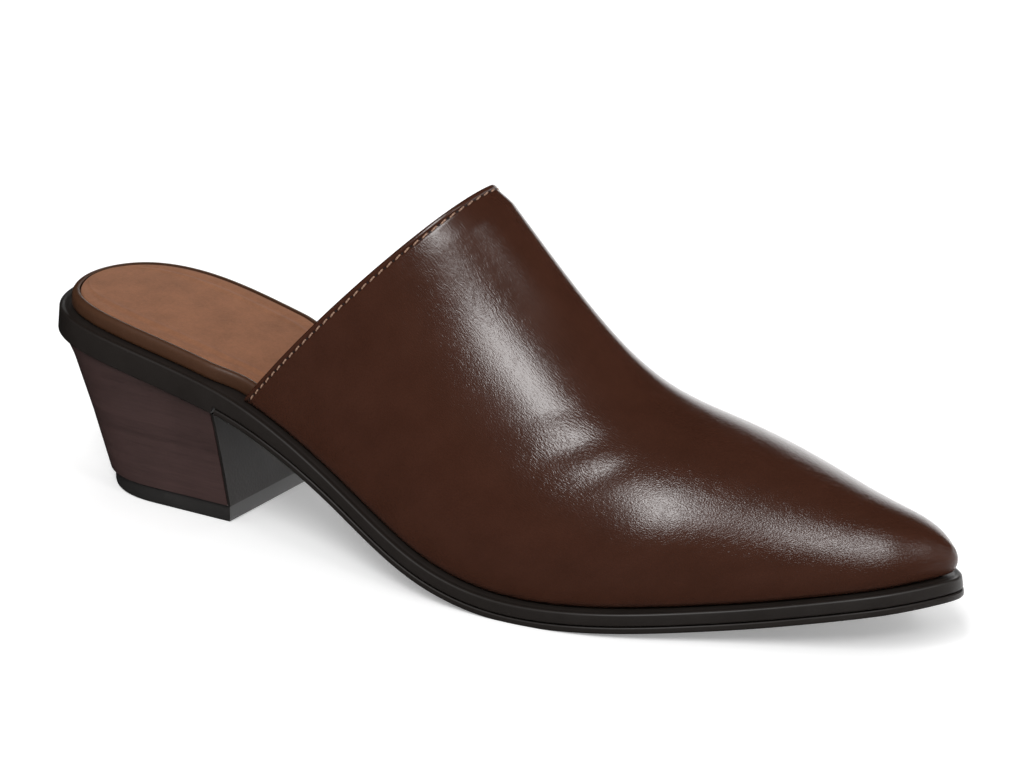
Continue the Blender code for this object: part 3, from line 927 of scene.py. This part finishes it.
class MULE_OT_stitches(bpy.types.Operator):
    """Sew the row of stitches along the topline"""

    bl_idname = "mule.stitches"
    bl_label = "Topline Stitches"

    def execute(self, context):
        sizes = context.scene.mule_sizes
        colours = context.scene.mule_colours
        skin = Skin(401)
        near = np.array([0, sizes.stitch_margin - 0.0004, sizes.stitch_margin,
                         sizes.stitch_margin + 0.0004])
        points, normals = skin.rows(near, 40)
        out = normals[2]
        line = points[2] - out * peak_draw(sizes.stitch_margin, skin.t)[:, None]
        step = np.linalg.norm(np.diff(line, axis=0), axis=-1)
        run = np.concatenate([[0], np.cumsum(step)])
        length = run[-1]
        margin = 0.0016
        count = int(round((length - 2 * margin) / sizes.stitch_pitch))
        pitch = (length - 2 * margin) / count

        def spot(at):
            """Place on the row of stitches, with the directions out, across and along."""
            base, normal, ahead, behind = (
                np.array([np.interp(where, run, values[:, k]) for k in range(3)])
                for where, values in ((at, line), (at, out), (at + 0.0003, line),
                                      (at - 0.0003, line)))
            normal = normal / np.linalg.norm(normal)
            tangent = (ahead - behind) / np.linalg.norm(ahead - behind)
            return base, normal, np.cross(normal, tangent), tangent

        verts = []
        faces = []
        rings = 9
        sides = 8
        for number in range(count):
            middle_run = margin + (number + 0.5) * pitch
            first = len(verts)
            for i in range(rings):
                share = 2 * i / (rings - 1) - 1
                base, normal, side, tangent = spot(middle_run + share * pitch * 0.38)
                base = base + side * (share * 0.00020)
                width = sizes.thread / 2 * (1 - share ** 6) ** 0.5 if abs(share) < 1 else 0.00004
                lift = sizes.thread * 0.30 - 0.0005 * share ** 4 - 0.00012
                for k in range(sides):
                    angle = 2 * math.pi * k / sides
                    verts.append(base + normal * (lift + math.sin(angle) * width)
                                 + side * math.cos(angle) * width)
            faces += tube_faces(first, rings, sides)
            faces.append(tuple(first + k for k in reversed(range(sides))))
            faces.append(tuple(first + (rings - 1) * sides + k for k in range(sides)))
        thread_faces = len(faces)
        for number in range(count + 1):
            # the needle's holes: little cups whose rims stand on the leather, nearly black to paint
            # the shade inside each hole over the fibre's dark brown
            base, normal, side, tangent = spot(margin + number * pitch)
            first = len(verts)
            for radius, lift in ((0.36 * MM, 0.00002), (0.30 * MM, 0.00007), (0.16 * MM, -0.00006)):
                for k in range(sides):
                    angle = 2 * math.pi * k / sides
                    verts.append(base + normal * lift + radius * (
                        side * math.cos(angle) + tangent * math.sin(angle) * 0.8))
            faces += tube_faces(first, 3, sides)
            faces.append(tuple(first + 2 * sides + k for k in range(sides)))
        piece = new_piece("topline_stitches", np.array(verts), faces,
                          thread_finish(sizes, colours), smooth_angle=1.2)
        piece.data.materials.append(hole_fibre_and_shade_finish(sizes, colours))
        for polygon in piece.data.polygons[thread_faces:]:
            polygon.material_index = 1
        return {"FINISHED"}


class MULE_OT_insole(bpy.types.Operator):
    """Build the wrapped insole platform and the sock lining that lies in it"""

    bl_idname = "mule.insole"
    bl_label = "Platform and Sock Lining"

    def execute(self, context):
        sizes = context.scene.mule_sizes
        colours = context.scene.mule_colours
        q = stations(end=float(row_at(insole_end * sole_length)))
        inset = platform_inset(outline_along(q))
        tray = inset + platform_rim
        top = fit_gap + platform_height
        profile = [(inset + 0.0010, fit_gap), (inset + 0.0004, fit_gap + 0.0001),
                   (inset + 0.0001, fit_gap + 0.0005), (inset, fit_gap + 0.0012),
                   (inset, fit_gap + 0.0022)]
        for angle in np.linspace(0, math.pi / 2, 9):
            profile.append((inset + 0.0013 * (1 - math.cos(angle)),
                            top - 0.0015 + 0.0015 * math.sin(angle)))
        profile += [(tray - 0.0003, top - 0.00002), (tray - 0.00008, top - 0.0001),
                    (tray, top - 0.0004), (tray, top - sock_recess)]
        rings = layer_rings(q, profile)
        new_piece("platform_wrap", rings, loft_faces(*rings.shape[:2]),
                  platform_leather(sizes, colours), ("insole_platform",))

        q = stations(end=float(row_at(insole_end * sole_length) - 0.06))
        x = outline_along(q)
        inset = platform_inset(x) + platform_rim + fit_gap
        bottom = fit_gap + platform_height - sock_recess + fit_gap
        top = bottom + sock_thickness
        half = (spline(row_numbers, outline_half[LATERAL], q)
                + spline(row_numbers, outline_half[MEDIAL], q)) / 2
        reach = np.clip(0.55 * (half - inset) / 0.014, 0, 1)
        profile = [(inset, bottom), (inset, top - 0.0006), (inset + 0.00008, top - 0.0003),
                   (inset + 0.0003, top - 0.0001)]
        for depth in np.concatenate([np.arange(0.0007, 0.0125, 0.0006), [0.0135]]):
            ridge = 0.00035 * hump(depth, sizes.border + 0.0017, 0.0012)
            pressed = 0.00025 * hump(depth, sizes.border, 0.0016)
            profile.append((inset + depth * reach, top + (ridge - pressed) * reach
                            - 0.00006 * hump(depth, 0.0007, 0.0006)))
        rings = layer_rings(q, profile)
        new_piece("sock", rings, loft_faces(*rings.shape[:2]),
                  sock_nubuck(sizes, colours), ("sock_lining",))
        return {"FINISHED"}


class MULE_OT_sole(bpy.types.Operator):
    """Build the midsole and the outsole with their trimmed edges"""

    bl_idname = "mule.sole"
    bl_label = "Midsole and Outsole"

    def execute(self, context):
        colours = context.scene.mule_colours
        rubber = sole_rubber("sole_rubber_moulded_black", colours.sole, 0.46)
        q = stations(more=np.linspace(step_rows[0] - 0.02, step_rows[1] + 0.02, 8))
        depth = midsole_depth(q)
        profile = [(0.0009, -depth)]
        for angle in np.linspace(0.2, math.pi / 2, 4):
            profile.append((0.0006 * (1 - math.sin(angle)), -depth + 0.0006 * (1 - math.cos(angle))))
        profile += [(0, -0.55 * depth)]
        for angle in np.linspace(0, math.pi / 2, 5):
            profile.append((0.0006 * (1 - math.cos(angle)), -0.0006 + 0.0006 * math.sin(angle)))
        profile += [(0.0010, -0.00004), (0.0014, -0.00016), (0.0018, -0.00016),
                    (0.0022, -0.00004), (0.0026, 0)]
        rings = layer_rings(q, profile)
        new_piece("midsole_edge", rings, loft_faces(*rings.shape[:2]), rubber,
                  ("midsole",))

        q = stations(start=row_below(breast_front + 4 * fit_gap))
        bottom = -full_thickness(outline_along(q))
        top = bottom + outsole_thickness
        profile = [(0.0016, bottom), (0.0009, bottom + 0.00004), (0.0004, bottom + 0.0002),
                   (0.0001, bottom + 0.0005), (0.0, bottom + 0.0009), (0.0, top - 0.0002),
                   (0.0002, top)]
        rings = layer_rings(q, profile, floor=0.0)
        new_piece("outsole_edge", rings, loft_faces(*rings.shape[:2]), rubber,
                  ("outsole",))
        return {"FINISHED"}


class MULE_OT_heel(bpy.types.Operator):
    """Build the stacked heel block and its top piece, and finish the breast cover"""

    bl_idname = "mule.heel"
    bl_label = "Stacked Heel"

    def execute(self, context):
        sizes = context.scene.mule_sizes
        colours = context.scene.mule_colours
        low = top_piece_height + fit_gap
        levels = np.unique(np.concatenate([np.linspace(0, 1, 31), [0.004, 0.996]]))
        rings = np.stack([np.concatenate([heel_half(LATERAL, level, low),
                                          heel_half(MEDIAL, level, low)[::-1]])
                          for level in levels])
        new_piece("heel_stack", rings, loft_faces(*rings.shape[:2]),
                  stack_finish(sizes, colours), ("heel_block",))
        foot = np.concatenate([heel_half(LATERAL, 1, 0.0), heel_half(MEDIAL, 1, 0.0)[::-1]])
        centre = foot.mean(axis=0)
        rings = []
        for z, shrink in ((top_piece_height, 0.0002), (top_piece_height - 0.0002, 0),
                          (0.0012, 0), (0.0005, 0.00015), (0.0001, 0.0005), (0.0, 0.0009)):
            ring = foot.copy()
            away = ring[:, :2] - centre[:2]
            size = np.linalg.norm(away, axis=1, keepdims=True)
            ring[:, :2] -= away / size * shrink
            ring[:, 2] = z
            rings.append(ring)
        rings = np.stack(rings)
        new_piece("heel_lift", rings, loft_faces(*rings.shape[:2]),
                  sole_rubber("top_piece_rubber_black", colours.top_piece, 0.55),
                  ("heel_top_piece",))
        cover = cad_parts["heel_breast_cover"]
        material = breast_leather(sizes, colours)
        for slot in cover.material_slots:
            slot.material = material
        return {"FINISHED"}


def direction(azimuth, elevation):
    """Unit vector towards an azimuth, counted from -Y to +X, and an elevation, in degrees."""
    a, e = math.radians(azimuth), math.radians(elevation)
    return Vector((math.sin(a) * math.cos(e), -math.cos(a) * math.cos(e), math.sin(e)))


def softbox(name, azimuth, elevation, distance, size, radiance, lean=0.0,
            target=(0.10, 0.0, 0.04)):
    """A soft panel that faces the shoe, of an even brightness as the shoe sees it."""
    data = bpy.data.lights.new(name, "AREA")
    data.shape = "RECTANGLE"
    data.size, data.size_y = size
    data.energy = radiance * math.pi * size[0] * size[1]
    light = bpy.data.objects.new(name, data)
    back = direction(azimuth, elevation)
    light.location = Vector(target) + back * distance
    light.rotation_mode = "QUATERNION"
    light.rotation_quaternion = (back.to_track_quat("Z", "Y")
                                 @ Quaternion((0, 0, 1), math.radians(lean)))
    bpy.context.scene.collection.objects.link(light)
    return light


class MULE_OT_stage(bpy.types.Operator):
    """Set up the floor, the backdrop, the soft lights and the camera"""

    bl_idname = "mule.stage"
    bl_label = "Stage"

    def execute(self, context):
        scene = context.scene
        mesh = bpy.data.meshes.new("floor")
        half = 6.0
        mesh.from_pydata([(-half, -half, 0), (half, -half, 0), (half, half, 0),
                          (-half, half, 0)], [], [(0, 1, 2, 3)])
        mesh.materials.append(floor_finish())
        floor = bpy.data.objects.new("floor", mesh)
        scene.collection.objects.link(floor)

        floor.visible_glossy = False

        # a pale curved wall behind the shoe, which the far edges of the leather mirror
        wall_points = []
        for a in np.linspace(95, 215, 25):
            flat = direction(a, 0) * 2.4
            wall_points += [(flat.x + 0.1, flat.y, -2.6), (flat.x + 0.1, flat.y, 0.95)]
        mesh = bpy.data.meshes.new("wall")
        mesh.from_pydata(wall_points, [], [(i, i + 1, i + 3, i + 2)
                                           for i in range(0, len(wall_points) - 2, 2)])
        mesh.materials.append(wall_finish())
        wall = bpy.data.objects.new("wall", mesh)
        scene.collection.objects.link(wall)

        world = bpy.data.worlds.new("studio")
        world.use_nodes = True
        world.node_tree.nodes["Background"].inputs["Color"].default_value = (1, 1, 1, 1)
        world.node_tree.nodes["Background"].inputs["Strength"].default_value = 0.56
        world.cycles_visibility.glossy = False
        scene.world = world
        softbox("key_softbox", 17, 48, 2.2, (0.50, 1.25), 14.0, lean=18)
        softbox("toe_softbox", 66, 38, 2.2, (0.40, 0.36), 11.0)
        scene.view_settings.view_transform = "Standard"

        azimuth, elevation, roll = 30.8, 19.3, math.radians(-0.7)
        distance = 0.817
        target = Vector((0.09685, 0.008, 0.045))
        back = direction(azimuth, elevation)
        right = Vector((math.cos(math.radians(azimuth)), math.sin(math.radians(azimuth)), 0))
        up = back.cross(right)
        turned_right = right * math.cos(roll) - up * math.sin(roll)
        turned_up = right * math.sin(roll) + up * math.cos(roll)
        data = bpy.data.cameras.new("camera")
        data.sensor_width = 36.0
        data.lens = 108.0
        camera = bpy.data.objects.new("camera", data)
        turn = Matrix((turned_right, turned_up, back)).transposed().to_4x4()
        camera.matrix_world = Matrix.Translation(target + back * distance) @ turn
        scene.collection.objects.link(camera)
        scene.camera = camera
        return {"FINISHED"}


class MULE_PT_panel(bpy.types.Panel):
    """Sizes, colours and steps of the mule"""

    bl_label = "Block Heel Mule"
    bl_idname = "MULE_PT_panel"
    bl_space_type = "VIEW_3D"
    bl_region_type = "UI"
    bl_category = "Mule"

    def draw(self, context):
        for group in (context.scene.mule_sizes, context.scene.mule_colours):
            box = self.layout.box()
            for name in group.__annotations__:
                box.prop(group, name)
        for operator in operators:
            self.layout.operator(operator.bl_idname)


operators = (MULE_OT_upper, MULE_OT_lining, MULE_OT_stitches, MULE_OT_insole, MULE_OT_sole,
             MULE_OT_heel, MULE_OT_stage)
classes = (MuleSizes, MuleColours) + operators + (MULE_PT_panel,)


def register():
    for cls in classes:
        bpy.utils.register_class(cls)
    bpy.types.Scene.mule_sizes = bpy.props.PointerProperty(type=MuleSizes)
    bpy.types.Scene.mule_colours = bpy.props.PointerProperty(type=MuleColours)


def unregister():
    del bpy.types.Scene.mule_colours
    del bpy.types.Scene.mule_sizes
    for cls in reversed(classes):
        bpy.utils.unregister_class(cls)


def main():
    """Build every piece in order."""
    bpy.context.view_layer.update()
    register()
    bpy.ops.mule.upper()
    bpy.ops.mule.lining()
    bpy.ops.mule.stitches()
    bpy.ops.mule.insole()
    bpy.ops.mule.sole()
    bpy.ops.mule.heel()
    bpy.ops.mule.stage()


if __name__ == "__main__":
    main()
